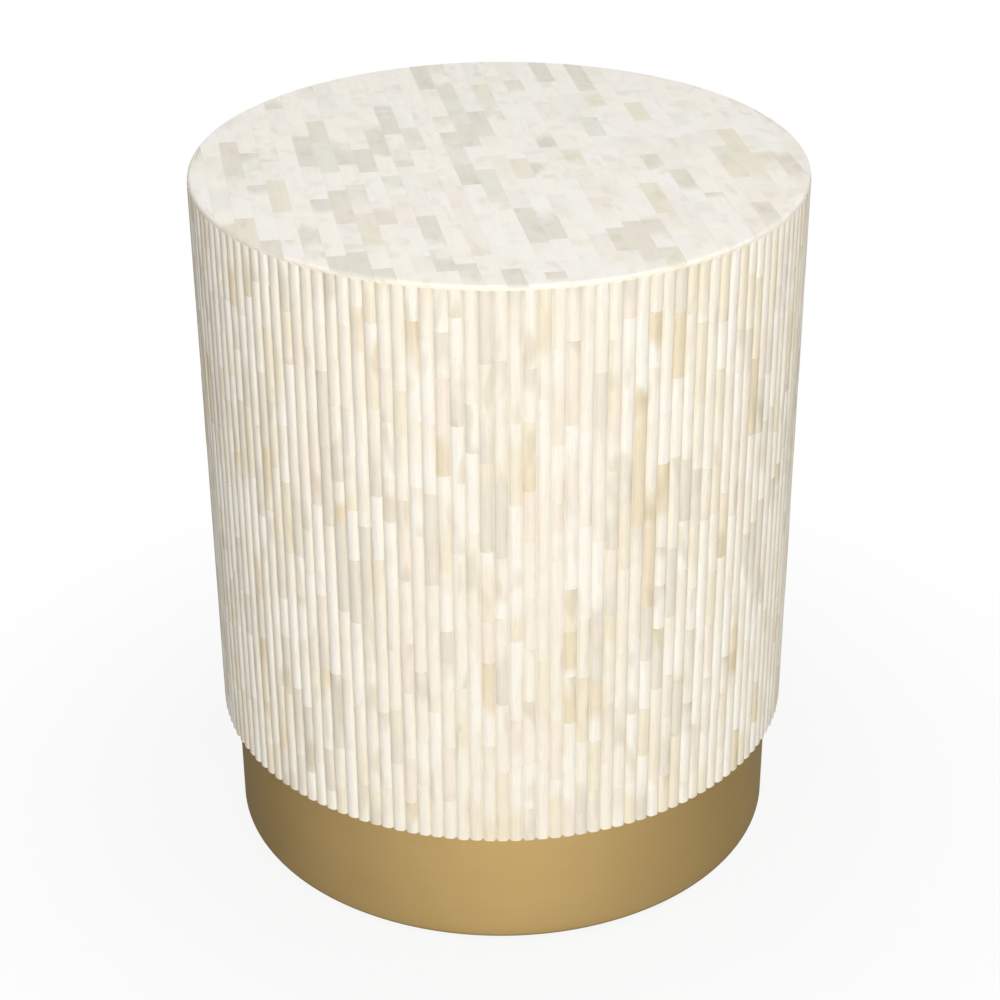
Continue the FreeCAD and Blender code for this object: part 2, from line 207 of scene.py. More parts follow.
def dress(tree, shader, tint, roughness):
    """Lead a colour and a roughness to the main shader."""
    tree.links.new(tint, shader.inputs["Base Color"])
    tree.links.new(roughness, shader.inputs["Roughness"])


def hollows(tree, shader, height, depth):
    """Relief too fine to model."""
    bump = node(tree, "Bump", {"Height": height, "Distance": depth, "Strength": 1.0})
    tree.links.new(bump.outputs["Normal"], shader.inputs["Normal"])


print("most of a noise lies between", *NOISE_MIDDLE)

# %% [markdown]
# ## Bone
#
# Bone is cut from many animals' shins, so no two lengths are the same: most are cream, some are straw,
# grey or pink. Many change from one tone to another on the way, with a soft, rounded border where the
# marrow began. Fine lines run along a length, tiny pores show as short dark strokes, and here and there a
# soft grey mark is left.
#
# One picture of bone could be wrapped round everything, but it would repeat. Here each length carries
# attributes on its vertices instead: `tone` and `other` are its two colours, `change` rises along it, and
# `shift` moves it to its own part of an endless noise. The noise bends the border between the two
# colours.

# %% Describe polished bone

BLOT_CELLS = (70.0, 55.0, 45.0)
PORES_PER_LINE = 2.6
BORDER_BEND = 2.4
BORDER_RANGE = (1.0, 1.8)
CLOUD_RANGE = (0.5, 0.8)
CLOUD_SHARE = 0.2
CLOUD_TINT = colour(222, 214, 198)
MARK_RANGE = (0.65, 0.77)
MARKS_PER_FIGURE = 2.5
MARK_TINT = colour(224, 219, 205)
LINE_RANGE = (0.45, 0.75)
LINE_TINT = colour(218, 206, 182)
PORE_RANGE = (0.67, 0.76)
PORE_TINT = colour(172, 154, 124)
BONE_ROUGHENING = 0.14
BONE_COAT_ROUGHNESS = 0.25
BONE_RELIEF = 0.00004


def bone_finish(name, cells, mark_cells, turn, roughness, coat, figure):
    """Polished bone: cells are those of its lines, and figure is how much lines, marks and pores show."""
    material, tree, shader = new_finish(name)
    shift = attribute(tree, "shift", "Vector")
    place = node(tree, "VectorMath", {0: place_on(tree), 1: shift}, operation="ADD").outputs["Vector"]
    blots = grain(tree, place, BLOT_CELLS, detail=1.0, turn=turn)
    marks = grain(tree, place, mark_cells, detail=0.0, turn=turn)
    lines = grain(tree, place, cells, detail=4.0, turn=turn)
    pore_cells = [value * PORES_PER_LINE for value in cells]
    pores = grain(tree, place, pore_cells, detail=2.0, turn=turn)

    border = times_plus(tree, blots, BORDER_BEND, attribute(tree, "change", "Fac"))
    other_share = spread(tree, border, BORDER_RANGE, (0.0, 1.0))
    cloud_share = spread(tree, blots, CLOUD_RANGE, (0.0, CLOUD_SHARE))
    mark_share = spread(tree, marks, MARK_RANGE, (0.0, MARKS_PER_FIGURE * figure))
    line_share = spread(tree, lines, LINE_RANGE, (0.0, figure))
    pore_share = spread(tree, pores, PORE_RANGE, (0.0, figure))

    toned = blend(tree, other_share, attribute(tree, "tone", "Color"), attribute(tree, "other", "Color"))
    clouded = blend(tree, cloud_share, toned, CLOUD_TINT, "MULTIPLY")
    marked = blend(tree, mark_share, clouded, MARK_TINT, "MULTIPLY")
    lined = blend(tree, line_share, marked, LINE_TINT, "MULTIPLY")
    pored = blend(tree, pore_share, lined, PORE_TINT)

    roughened = spread(tree, lines, NOISE_MIDDLE, (roughness, roughness + BONE_ROUGHENING))
    dress(tree, shader, pored, roughened)
    shader.inputs["Coat Weight"].default_value = coat
    shader.inputs["Coat Roughness"].default_value = BONE_COAT_ROUGHNESS
    relief = node(tree, "Math", {0: lines, 1: pore_share}, operation="SUBTRACT").outputs[0]
    hollows(tree, shader, relief, BONE_RELIEF)
    return material


print("blots are about", *[round(1000 / cells) for cells in BLOT_CELLS], "mm long along X, Y and Z")

# %% Make the bone of the reeds and of the tiles

COURSE_TURN = math.radians(10.0)

reed_bone = bone_finish(
    "reed_bone",
    cells=(620.0, 620.0, 42.0),
    mark_cells=(95.0, 95.0, 26.0),
    turn=0.0,
    roughness=0.36,
    coat=0.05,
    figure=0.2,
)
tile_bone = bone_finish(
    "tile_bone",
    cells=(420.0, 36.0, 420.0),
    mark_cells=(95.0, 60.0, 60.0),
    turn=COURSE_TURN,
    roughness=0.64,
    coat=0.0,
    figure=0.1,
)
print("bone finishes:", reed_bone.name, tile_bone.name)

# %% [markdown]
# The tones are a maker's mix: a heap of cream lengths with some others thrown in. Each one stands here
# after its weight in the heap. Chance could be left to itself, but then no two renders would show the
# same table. So every panel and band draws from a generator that is seeded with its own name.

# %% Mix the tones

REED_TONES = [
    (38, (251, 245, 232)),
    (26, (253, 249, 240)),
    (12, (247, 238, 218)),
    (5, (240, 227, 201)),
    (8, (239, 232, 219)),
    (4, (236, 230, 216)),
    (7, (249, 239, 226)),
]
TILE_TONES = [
    (30, (246, 243, 236)),
    (24, (247, 243, 233)),
    (12, (242, 239, 231)),
    (12, (243, 237, 226)),
    (7, (230, 225, 211)),
    (6, (227, 223, 211)),
    (5, (236, 230, 213)),
    (4, (233, 230, 219)),
]
CHANGING_SHARE = 0.7
NOISE_REACH = 5.0
CHANGE_START = 0.5

Bone = namedtuple("Bone", "tone other place slope start")


def pick_bone(chance, tones):
    """Two colours of one length, its place in the endless noise, and the slope and start of its change."""
    weights = [weight for weight, _ in tones]
    first, other = chance.choices([tone for _, tone in tones], weights, k=2)
    last = other if chance.random() < CHANGING_SHARE else first
    place = Vector([chance.uniform(-NOISE_REACH, NOISE_REACH) for _ in range(3)])
    slope = chance.choice((-1.0, 1.0))
    start = chance.uniform(-CHANGE_START, CHANGE_START)
    return Bone(colour(*first), colour(*last), place, slope, start)


sample_bone = pick_bone(random.Random("sample"), REED_TONES)
print("one tone from the heap:", *[round(value, 2) for value in sample_bone.tone[:3]])

# %% Write a tone to the vertices


def bone_layers(bm):
    """Vertex attributes that the bone finish reads."""
    layers = bm.verts.layers
    colours = [layers.float_color.new(name) for name in ("tone", "other")]
    return *colours, layers.float_vector.new("shift"), layers.float.new("change")


def mark_bone(vert, layers, bone, along):
    """Write the values of one length to a vertex that lies at some share of it."""
    tone, other, shift, change = layers
    vert[tone] = bone.tone
    vert[other] = bone.other
    vert[shift] = bone.place
    vert[change] = bone.slope * (2 * along - 1) + bone.start


sample = bmesh.new()
print(len(bone_layers(sample)), "attributes on every vertex of bone")
sample.free()

# %% [markdown]
# ## Reeds
#
# A reed is a half-round strip that stands on the drum from the rim to the top. Bone isn't that long, so
# each reed is butted from eight or so short lengths, and the joints are staggered. The lengths are filed
# by hand: no two are quite as full, and they waver a little.
#
# A curve with a bevel would give the half round too, but it has no butt ends. So each length is a stack
# of rings in a mesh: the rings at its ends are drawn in for the eased edge, and those between waver. The
# half round is a little fuller at its shoulders than a true one, as a scraper leaves it.

# %% Cut the lengths of a reed

SHORTEST_LENGTH = 0.028
LONGEST_LENGTH = 0.066

reed_solids = solids_named("bone_reeds")
reed_foot, reed_head = [corner.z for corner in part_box(reed_solids[0])]


def cut_lengths(chance):
    """Heights of the butt joints in one reed, from its foot to its head."""
    heights = [reed_foot]
    step = chance.uniform(SHORTEST_LENGTH / 2, LONGEST_LENGTH)
    while heights[-1] + step < reed_head - SHORTEST_LENGTH / 2:
        heights.append(heights[-1] + step)
        step = chance.uniform(SHORTEST_LENGTH, LONGEST_LENGTH)
    return heights + [reed_head]


sample_lengths = len(cut_lengths(random.Random("sample"))) - 1
print(f"reeds from {reed_foot:.3f} to {reed_head:.3f} m, one of them in {sample_lengths} lengths")

# %% Close a stack of rings

SQUARE = ((0, 0), (1, 0), (1, 1), (0, 1))


def skin_rings(bm, rings):
    """Close a stack of rings into a solid. Its last two faces are the first end and the last one."""
    faces = []
    for lower, upper in zip(rings, rings[1:]):
        for step in range(len(lower)):
            after = (step + 1) % len(lower)
            faces.append(bm.faces.new((lower[step], lower[after], upper[after], upper[step])))
    faces.append(bm.faces.new(reversed(rings[0])))
    faces.append(bm.faces.new(rings[-1]))
    return faces


sample = bmesh.new()
sample_rings = [[sample.verts.new((*corner, height)) for corner in SQUARE] for height in (0, 1)]
print("two square rings close with", len(skin_rings(sample, sample_rings)), "faces")
sample.free()

# %% Draw the half round and space its rings

SHOULDER = 0.72
ROUND_STEPS = 10
END_EASE = 0.00008
RING_SPACING = 0.009
FEWEST_STEPS = 2


def half_round():
    """Points across a reed and out from the drum, as shares of its half width and depth."""
    points = []
    for step in range(ROUND_STEPS + 1):
        angle = math.pi * (step / ROUND_STEPS - 0.5)
        aside = math.copysign(abs(math.sin(angle)) ** SHOULDER, angle)
        points.append((aside, max(math.cos(angle), 0.0) ** SHOULDER))
    return points


def ring_heights(low, high):
    """Heights of the rings of one length, and how far each is drawn in."""
    count = max(FEWEST_STEPS, round((high - low) / RING_SPACING))
    near, far = low + END_EASE, high - END_EASE
    body = [(near + (far - near) * step / count, 0.0) for step in range(count + 1)]
    return [(low, END_EASE), *body, (high, END_EASE)]


reed_profile = half_round()
sample_count = len(ring_heights(0.0, LONGEST_LENGTH))
print(f"{sample_count} rings of {len(reed_profile)} points in the longest length")

# %% Lay one length of bone

REED_HALF_WIDTH = 0.00424
BUTT_GAP = 0.00001
LEAST_FULL = 0.92
MOST_FULL = 0.99
WAVER_CELLS = 60.0
DEPTH_WAVER = 0.012
SIDE_LEAN = 0.0003
SIDE_WAVER = 0.00014

skin_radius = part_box("drum_outer_ply")[1].x
reed_depth = cad_high.x - skin_radius


def at_turn(radius, turn, height=0.0):
    """Place at a distance from the table's axis, an angle round it and a height."""
    return Vector((radius * math.cos(turn), radius * math.sin(turn), height))


def lay_length(bm, layers, turn, low, high, chance):
    """Half-round length of bone on the reed that stands at one angle round the drum."""
    outward = at_turn(1.0, turn)
    sideways = Vector((-outward.y, outward.x, 0.0))
    bone = pick_bone(chance, REED_TONES)
    fullness = chance.uniform(LEAST_FULL, MOST_FULL)
    lean = [chance.uniform(-SIDE_LEAN, SIDE_LEAN) for _ in range(2)]
    rings = []
    for height, ease in ring_heights(low + BUTT_GAP, high - BUTT_GAP):
        along = (height - low) / (high - low)
        waver = noise.noise(bone.place + Vector((0.0, 0.0, height * WAVER_CELLS)))
        depth = reed_depth * (fullness + DEPTH_WAVER * waver) - ease
        middle = lean[0] + (lean[1] - lean[0]) * along + SIDE_WAVER * waver
        ring = []
        for aside, out in reed_profile:
            reach = outward * (skin_radius + depth * out)
            vert = bm.verts.new(reach + sideways * ((REED_HALF_WIDTH - ease) * aside + middle))
            vert.co.z = height
            mark_bone(vert, layers, bone, along)
            ring.append(vert)
        rings.append(ring)
    skin_rings(bm, rings)


print(f"a reed is {reed_depth * 1000:.1f} mm deep and {REED_HALF_WIDTH * 2000:.1f} mm wide")

# %% [markdown]
# Resin fills the foot of the grooves, and shows as a soft line between two reeds, a shade darker than the
# bone. The wall behind the reeds could be painted to stand for it, but it lies too deep for a filled
# groove. So the resin is a thin curved bed that the reeds of a panel stand in, a little lower than their
# flanks.

# %% Make the resin finish


def resin_finish():
    """Cloudy filler, tinted to go with the bone."""
    material, tree, shader = new_finish("groove_resin")
    clouds = grain(tree, place_on(tree), cells=(160.0, 160.0, 50.0), detail=4.0)
    tint = blend(tree, clouds, colour(233, 230, 224), colour(220, 216, 209))
    roughness = spread(tree, clouds, NOISE_MIDDLE, (0.45, 0.65))
    dress(tree, shader, tint, roughness)
    hollows(tree, shader, clouds, depth=0.0001)
    return material


groove_resin = resin_finish()
print("resin finish:", groove_resin.name)

# %% Lay the bed of a panel

REEDS_PER_PANEL = 12
BED_DEPTH = 0.002
BED_SETBACK = 0.0004
BED_STEPS_PER_REED = 2
RESIN_INDEX = 1


def lay_bed(bm, first_turn, pitch):
    """Curved bed of resin under the reeds of one panel."""
    steps = range(REEDS_PER_PANEL * BED_STEPS_PER_REED + 1)
    turns = [first_turn + pitch * (step / BED_STEPS_PER_REED - 0.5) for step in steps]
    outline = [(skin_radius + BED_DEPTH, turn) for turn in turns]
    outline += [(skin_radius, turn) for turn in reversed(turns)]
    rings = []
    for height in (reed_foot + BED_SETBACK, reed_head - BED_SETBACK):
        rings.append([bm.verts.new(at_turn(radius, turn, height)) for radius, turn in outline])
    for face in skin_rings(bm, rings):
        face.material_index = RESIN_INDEX


print(f"the bed covers {BED_DEPTH / reed_depth:.0%} of the depth of a reed")

# %% Glue the panels of reeds round the drum

reed_count = REEDS_PER_PANEL * len(reed_solids)
pitch = 2 * math.pi / reed_count

for panel, solid in enumerate(reed_solids):
    chance = random.Random(solid)
    bm = bmesh.new()
    layers = bone_layers(bm)
    for reed in range(panel * REEDS_PER_PANEL, (panel + 1) * REEDS_PER_PANEL):
        heights = cut_lengths(chance)
        for low, high in zip(heights, heights[1:]):
            lay_length(bm, layers, reed * pitch, low, high, chance)
    lay_bed(bm, panel * REEDS_PER_PANEL * pitch, pitch)
    name = solid.replace("bone_reeds", "reed_panel")
    add_piece(name, bm, solid, [reed_bone, groove_resin])

print(f"{reed_count} reeds in {len(reed_solids)} panels")

# %% [markdown]
# ## Tiles
#
# The top is laid with flat strips of bone in straight rows, ground level and trimmed to the round of the
# drum. Their outlines could be worked out here once more, but two copies of one pattern soon differ. So
# they are read from the solids: the triangles of a solid are dissolved into whole faces, and every face
# that looks up is one tile.

# %% Leave out sides that are too short

SHORTEST_SIDE = 0.0005


def bend(before, corner, after):
    """How far a path turns at a corner, from 0 where it runs straight on."""
    return abs((corner - before).normalized().cross((after - corner).normalized()))


def without_short_sides(corners):
    """Outline where the straighter one of two corners that almost meet is left out."""
    kept = list(corners)
    number = 0
    while number < len(kept):
        before, corner, after, last = [kept[(number + step) % len(kept)] for step in (-1, 0, 1, 2)]
        if (after - corner).length > SHORTEST_SIDE:
            number += 1
        elif bend(before, corner, after) < bend(corner, after, last):
            kept.remove(corner)
        else:
            kept.remove(after)
    return kept


sample_corners = [Vector(corner) for corner in (*SQUARE, (0, SHORTEST_SIDE / 2))]
print(len(without_short_sides(sample_corners)), "of", len(sample_corners), "corners are kept")

# %% Read the outlines of the tiles

MERGE_DISTANCE = 1e-5
FLAT_ANGLE = math.radians(0.05)
LOOKS_UP = 0.9


def tile_outlines(solid):
    """Corners of each tile in a solid, in order round its face."""
    bm = bmesh.new()
    bm.from_mesh(frame["nodes"][solid].data)
    bmesh.ops.remove_doubles(bm, verts=bm.verts, dist=MERGE_DISTANCE)
    bmesh.ops.dissolve_limit(bm, angle_limit=FLAT_ANGLE, verts=bm.verts, edges=bm.edges)
    outlines = []
    for face in bm.faces:
        if face.normal.z > LOOKS_UP:
            outlines.append(without_short_sides([vert.co.xy for vert in face.verts]))
    bm.free()
    return sorted(outlines, key=lambda outline: min(tuple(corner) for corner in outline))


tile_bands = {solid: tile_outlines(solid) for solid in solids_named("bone_tiles")}
tiles = [outline for band in tile_bands.values() for outline in band]
rim_radius = max(corner.length for outline in tiles for corner in outline)
print(f"{len(tiles)} tiles in {len(tile_bands)} bands, {rim_radius * 2000:.0f} mm across")

# %% [markdown]
# A Bevel modifier could ease the edges, but it folds over itself at the sharp corners along the rim. So a
# tile is a stack of rings, as a reed is: its outline is drawn in step by step on the way up to the face,
# well along the rim and by a hair along the joints. The same step with a negative distance makes a tile
# grow and closes the joints.
#
# Where a joint meets the rim, the wide rounding has to end. So the outline first gets one more corner
# there.

# %% Find the rim

RIM_MARGIN = 0.0002
RIM_ROUNDING = 0.0026
SHARPEST = 0.2
LONGEST_STOP = 0.45

rim_inside = rim_radius - RIM_MARGIN


def sides_of(outline):
    """Each corner of an outline with the one after it."""
    return list(zip(outline, outline[1:] + outline[:1]))


def at_rim(corner, after):
    """Whether a side lies along the rim of the table."""
    return min(spot.length for spot in (corner, after, (corner + after) / 2)) > rim_inside


def with_stops(outline):
    """Outline with one more corner on each joint that meets the rim, where the rim's rounding ends."""
    stopped = []
    for corner, after in sides_of(outline):
        stopped.append(corner)
        if at_rim(corner, after):
            continue
        side = after - corner
        along = side.normalized()
        for end, sign in ((corner, 1), (after, -1)):
            stop = RIM_ROUNDING / max(abs(along.dot(end.normalized())), SHARPEST)
            if end.length > rim_inside and stop < side.length * LONGEST_STOP:
                stopped.append(end + along * stop * sign)
    return stopped


rim_tiles = [outline for outline in tiles if len(with_stops(outline)) > len(outline)]
print(len(rim_tiles), "tiles have a joint that meets the rim")

# %% Draw in an outline

NEARLY_STRAIGHT = 0.1
TINY = 1e-9


def drawn_in(outline, distances):
    """Outline with each side moved inwards by its own distance."""
    moved = []
    for number, corner in enumerate(outline):
        before, after = outline[number - 1], outline[(number + 1) % len(outline)]
        near, far = distances[number - 1], distances[number]
        first = (corner - before).orthogonal().normalized()
        second = (after - corner).orthogonal().normalized()
        turning = first.cross(second)
        if abs(turning) < NEARLY_STRAIGHT:
            step = (first + second) / 2 * near
        else:
            step = (Vector((second.y, -second.x)) * near - Vector((first.y, -first.x)) * far) / turning
        longest = max(abs(near), abs(far)) / SHARPEST
        moved.append(corner + step * min(1.0, longest / max(step.length, TINY)))
    return moved


smaller = drawn_in([Vector(corner) for corner in SQUARE], [0.1] * len(SQUARE))
print("a square drawn in by a tenth:", *[corner.to_tuple(2) for corner in smaller])

# %% [markdown]
# The side of the tiles shows as a thin pale band round the top of the drum. Each tile could keep its own
# tone there, but the side is sanded with the filler in its joints, so it is one cream colour all round.
# The tones of the tiles begin on the rounded edge above it.

# %% Shape and tint one tile

JOINT_EASE = 0.00003
JOINT_CLOSING = 0.00009
DEEPEST_FACE = 0.00004
EDGE_STEPS = 5
SIDE_RINGS = 3
RIM_TONE = colour(250, 243, 226)

along_row = Vector((-math.sin(COURSE_TURN), math.cos(COURSE_TURN)))


def tint_tile(layers, rings, corners, bone):
    """Give the sides of a tile the tone of the rim, and its rounded edge and face their own."""
    places = [corner.dot(along_row) for corner in corners]
    start, end = min(places), max(places)
    sanded = bone._replace(tone=RIM_TONE, other=RIM_TONE)
    for number, ring in enumerate(rings):
        shown = sanded if number < SIDE_RINGS else bone
        for vert, place in zip(ring, places):
            mark_bone(vert, layers, shown, (place - start) / (end - start))


def lay_tile(bm, layers, outline, foot, chance):
    """Tile with eased edges, its face let down by a hair, in its own tones."""
    bone = pick_bone(chance, TILE_TONES)
    level = cad_high.z - chance.uniform(0.0, DEEPEST_FACE)
    corners = with_stops(outline)
    rims = [at_rim(corner, after) for corner, after in sides_of(corners)]
    easings = [RIM_ROUNDING if rim else JOINT_EASE for rim in rims]
    drops = [max(easings[number - 1], easings[number]) for number in range(len(corners))]
    grown = drawn_in(corners, [0.0 if rim else -JOINT_CLOSING for rim in rims])
    rings = [[bm.verts.new((*corner, foot)) for corner in grown]]
    for step in range(EDGE_STEPS + 1):
        angle = math.pi / 2 * step / EDGE_STEPS
        inset = drawn_in(grown, [easing * (1 - math.cos(angle)) for easing in easings])
        heights = [level - drop * (1 - math.sin(angle)) for drop in drops]
        rings.append([bm.verts.new((*corner, height)) for corner, height in zip(inset, heights)])
    tint_tile(layers, rings, corners, bone)
    skin_rings(bm, rings)


print(f"edges rounded by {RIM_ROUNDING * 1000:.1f} mm at the rim and {JOINT_EASE * 1000:.2f} mm at joints")

# %% Lay the bands of tiles

TILE_SMOOTH_BELOW = 12.0

for solid, outlines in tile_bands.items():
    chance = random.Random(solid)
    bm = bmesh.new()
    layers = bone_layers(bm)
    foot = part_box(solid)[0].z
    for outline in outlines:
        lay_tile(bm, layers, outline, foot, chance)
    name = solid.replace("bone_tiles", "tile_band")
    add_piece(name, bm, solid, [tile_bone], TILE_SMOOTH_BELOW)
    print(f"{name}: {len(outlines)} tiles")

# %% [markdown]
# ## Brass
#
# One sheet of brass wraps the plinth. Its ends meet at the back, and its lower edge is folded in
# underneath. The satin finish comes from a pad that is drawn round the plinth, so its scratches run
# level, and a lacquer keeps it from turning brown. The fold at its foot is darkened with painted shade.
#
# A tube from the menu would have no fold and no seam. Instead, a section is swept round the table, and
# the sheet wavers inwards by a few hundredths of a millimetre, as thin metal does.

# %% Make the brass finish

# Painted shade along the folded foot of the brass: the heights above its lowest edge over which it fades
# out, and how strong it is at the bottom.
FOLD_SHADE_RISE = (0.0004, 0.0026)
FOLD_SHADE_SHARE = 0.6

brass_low, brass_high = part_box("brass_skirt")


def brass_finish():
    """Satin brass with level scratches, and painted shade darkening the fold at its foot."""
    material, tree, shader = new_finish("satin_brass")
    place = place_on(tree)
    scratches = grain(tree, place, cells=(7.0, 7.0, 2600.0), detail=5.0)
    clouds = grain(tree, place, cells=(16.0, 16.0, 24.0), detail=4.0)
    clean = blend(tree, clouds, colour(219, 185, 115), colour(231, 199, 130))
    scratch_share = spread(tree, scratches, (0.4, 0.7), (0.0, 0.05))
    scratched = blend(tree, scratch_share, clean, colour(222, 205, 170), "MULTIPLY")
    # Painted shade: towards its foot the sheet is blended into dark brown, to stand for the shadow line
    # where the fold meets the floor.
    height = node(tree, "SeparateXYZ", {"Vector": place}).outputs["Z"]
    fold_shade_heights = [brass_low.z + rise for rise in FOLD_SHADE_RISE]
    fold_shade_share = spread(tree, height, fold_shade_heights, (FOLD_SHADE_SHARE, 0.0))
    tint = blend(tree, fold_shade_share, scratched, colour(112, 88, 54))
    roughness = spread(tree, scratches, NOISE_MIDDLE, (0.52, 0.62))
    dress(tree, shader, tint, roughness)
    shader.inputs["Metallic"].default_value = 0.75
    shader.inputs["Coat Weight"].default_value = 1.0
    shader.inputs["Coat Roughness"].default_value = 0.4
    hollows(tree, shader, scratches, depth=0.000003)
    return material


satin_brass = brass_finish()
print("brass finish:", satin_brass.name)

# %% Fold the sheet

SHEET = 0.0012
FOLD_RADIUS = 0.0014
FOLD_STEPS = 5
WALL_RINGS = 12
RETURN_WIDTH = 0.012

brass_radius = brass_high.x


def brass_section():
    """Corners of the folded sheet as radius and height: down outside, under, and back up inside."""
    wall_foot = brass_low.z + FOLD_RADIUS
    drop = brass_high.z - wall_foot
    section = [(brass_radius, brass_high.z - drop * step / WALL_RINGS) for step in range(WALL_RINGS + 1)]
    centre = brass_radius - FOLD_RADIUS
    for step in range(1, FOLD_STEPS + 1):
        angle = math.pi / 2 * step / FOLD_STEPS
        section.append((centre + FOLD_RADIUS * math.cos(angle), wall_foot - FOLD_RADIUS * math.sin(angle)))
    return section + [
        (brass_radius - RETURN_WIDTH, brass_low.z),
        (brass_radius - RETURN_WIDTH, brass_low.z + SHEET),
        (brass_radius - SHEET, brass_low.z + SHEET),
        (brass_radius - SHEET, brass_high.z),
    ]


print(f"{len(brass_section())} corners in the section of the sheet")

# %% Wrap the plinth

WRAP_STEPS = 360
SEAM_HALF_WIDTH = 0.0002
BACK = math.pi / 2
WAVER = 0.00006
WAVES_ROUND = 3.0
WAVES_UP = 18.0


def wrap_brass():
    """Sweep the section from one side of the seam, round the table, to its other side."""
    bm = bmesh.new()
    seam = SEAM_HALF_WIDTH / brass_radius
    section = brass_section()
    rings = []
    for step in range(WRAP_STEPS + 1):
        turn = BACK + seam + (2 * math.pi - 2 * seam) * step / WRAP_STEPS
        ring = []
        for radius, height in section:
            waver = WAVER * (noise.noise(at_turn(WAVES_ROUND, turn, height * WAVES_UP)) - 1)
            ring.append(bm.verts.new(at_turn(radius + waver, turn, height)))
        rings.append(ring)
    skin_rings(bm, rings)
    bmesh.ops.recalc_face_normals(bm, faces=bm.faces)
    return bm


add_piece("brass_band", wrap_brass(), "brass_skirt", [satin_brass])
print(f"brass band of {brass_radius * 2000:.0f} mm, {(brass_high - brass_low).z * 1000:.0f} mm high")

# %% [markdown]
# ## Screws
#
# Six screws hold the plinth to the drum and six more hold the board underneath. The solids give them as
# plain pins. A screw here is turned as a profile: a domed head with a cross recess, and a shank with
# ridges in place of its thread.
#
# A Screw modifier could turn the profile, but its faces are only there once it is applied, and the recess
# needs them. So a screw is a stack of rings too, and the recess is pushed into the head: the faces of
# four narrow sectors near its middle are extruded upwards.

# %% Make the steel finish


def steel_finish():
    """Zinc-plated steel with a faint bluish cloud."""
    material, tree, shader = new_finish("zinc_steel")
    clouds = grain(tree, place_on(tree), cells=(420.0, 420.0, 420.0), detail=4.0)
    zinc = blend(tree, clouds, colour(190, 192, 196), colour(214, 210, 198))
    roughness = spread(tree, clouds, NOISE_MIDDLE, (0.24, 0.42))
    dress(tree, shader, zinc, roughness)
    shader.inputs["Metallic"].default_value = 1.0
    hollows(tree, shader, clouds, depth=0.00003)
    return material


zinc_steel = steel_finish()
print("steel finish:", zinc_steel.name)

# %% Draw the profile of a screw

HEAD_RADIUS = 0.0045
HEAD_HEIGHT = 0.0022
DOME_STEPS = (0.2, 0.4, 0.62, 0.82, 1.0)
DOME_FALL = 0.72
SHANK_RADIUS = 0.0022
CORE_SHARE = 0.78
TIP_SHARE = 0.12
RIDGE_PITCH = 0.0018


def screw_profile(length):
    """Radius and height from the middle of the head up to the tip. The head's flat side is at height 0."""
    profile = []
    for share in DOME_STEPS:
        profile.append((HEAD_RADIUS * share, -HEAD_HEIGHT * math.sqrt(1 - DOME_FALL * share**2)))
    profile += [(HEAD_RADIUS, 0.0), (SHANK_RADIUS, 0.0)]
    core = SHANK_RADIUS * CORE_SHARE
    height = RIDGE_PITCH * 2
    while height < length - RIDGE_PITCH * 2:
        profile += [(core, height), (SHANK_RADIUS, height + RIDGE_PITCH / 2)]
        height += RIDGE_PITCH
    return profile + [(core, height), (SHANK_RADIUS * TIP_SHARE, length)]


sample_length = 0.03
sample_profile = screw_profile(sample_length)
print(f"{len(sample_profile)} points in the profile of a screw of {sample_length * 1000:.0f} mm")

# %% Turn one screw

SECTORS = 24
RECESS_ARMS = 4
RECESS_RINGS = 3
RECESS_DEPTH = 0.0013
RECESS_TAPER = 0.9
FIRST_END = -2


def drive_screw(bm, place, length):
    """Turn one screw at a place, with its tip up and a cross pushed into its head."""
    turns = [2 * math.pi * sector / SECTORS for sector in range(SECTORS)]
    rings = []
    for radius, height in screw_profile(length):
        rings.append([bm.verts.new(place + at_turn(radius, turn, height)) for turn in turns])
    faces = skin_rings(bm, rings)
    arms = range(0, SECTORS, SECTORS // RECESS_ARMS)
    cross = [faces[ring * SECTORS + arm] for ring in range(RECESS_RINGS) for arm in arms]
    cross.append(faces[FIRST_END])
    recess = bmesh.ops.extrude_face_region(bm, geom=cross)["geom"]
    bmesh.ops.delete(bm, geom=cross, context="FACES_KEEP_BOUNDARY")
    for vert in (item for item in recess if isinstance(item, bmesh.types.BMVert)):
        vert.co = place + (vert.co - place) * RECESS_TAPER
        vert.co.z = place.z - HEAD_HEIGHT + RECESS_DEPTH


print(f"a cross of {RECESS_ARMS} arms, {RECESS_DEPTH * 1000:.1f} mm deep")

# %% Drive both rings of screws

SCREW_SOLIDS = {"base_screw_ring": "base_screws", "plinth_screw_ring": "plinth_screws"}
SCREWS_PER_RING = 6

for name, solid in SCREW_SOLIDS.items():
    low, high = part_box(solid)
    radius = high.x - HEAD_RADIUS
    level = low.z + HEAD_HEIGHT
    length = high.z - level
    bm = bmesh.new()
    for number in range(SCREWS_PER_RING):
        turn = 2 * math.pi * number / SCREWS_PER_RING
        drive_screw(bm, at_turn(radius, turn, level), length)
    bmesh.ops.recalc_face_normals(bm, faces=bm.faces)
    add_piece(name, bm, solid, [zinc_steel])
    print(f"{name}: {SCREWS_PER_RING} screws of {length * 1000:.0f} mm")

# %% [markdown]
# ## Felt
#
# Four squares of felt keep the brass off the floor. Felt has no crisp edge: its corners are soft, and its
# sides bulge a little and are uneven. A cloth simulation could press it, but so thin a pad would hardly
# move. So a box is cut into a fine grid and its corners are drawn in. Then a noise moves every vertex
# inwards by a hair, and none up or down, so that the pad still touches the floor and the board.

# %% Make the felt finish


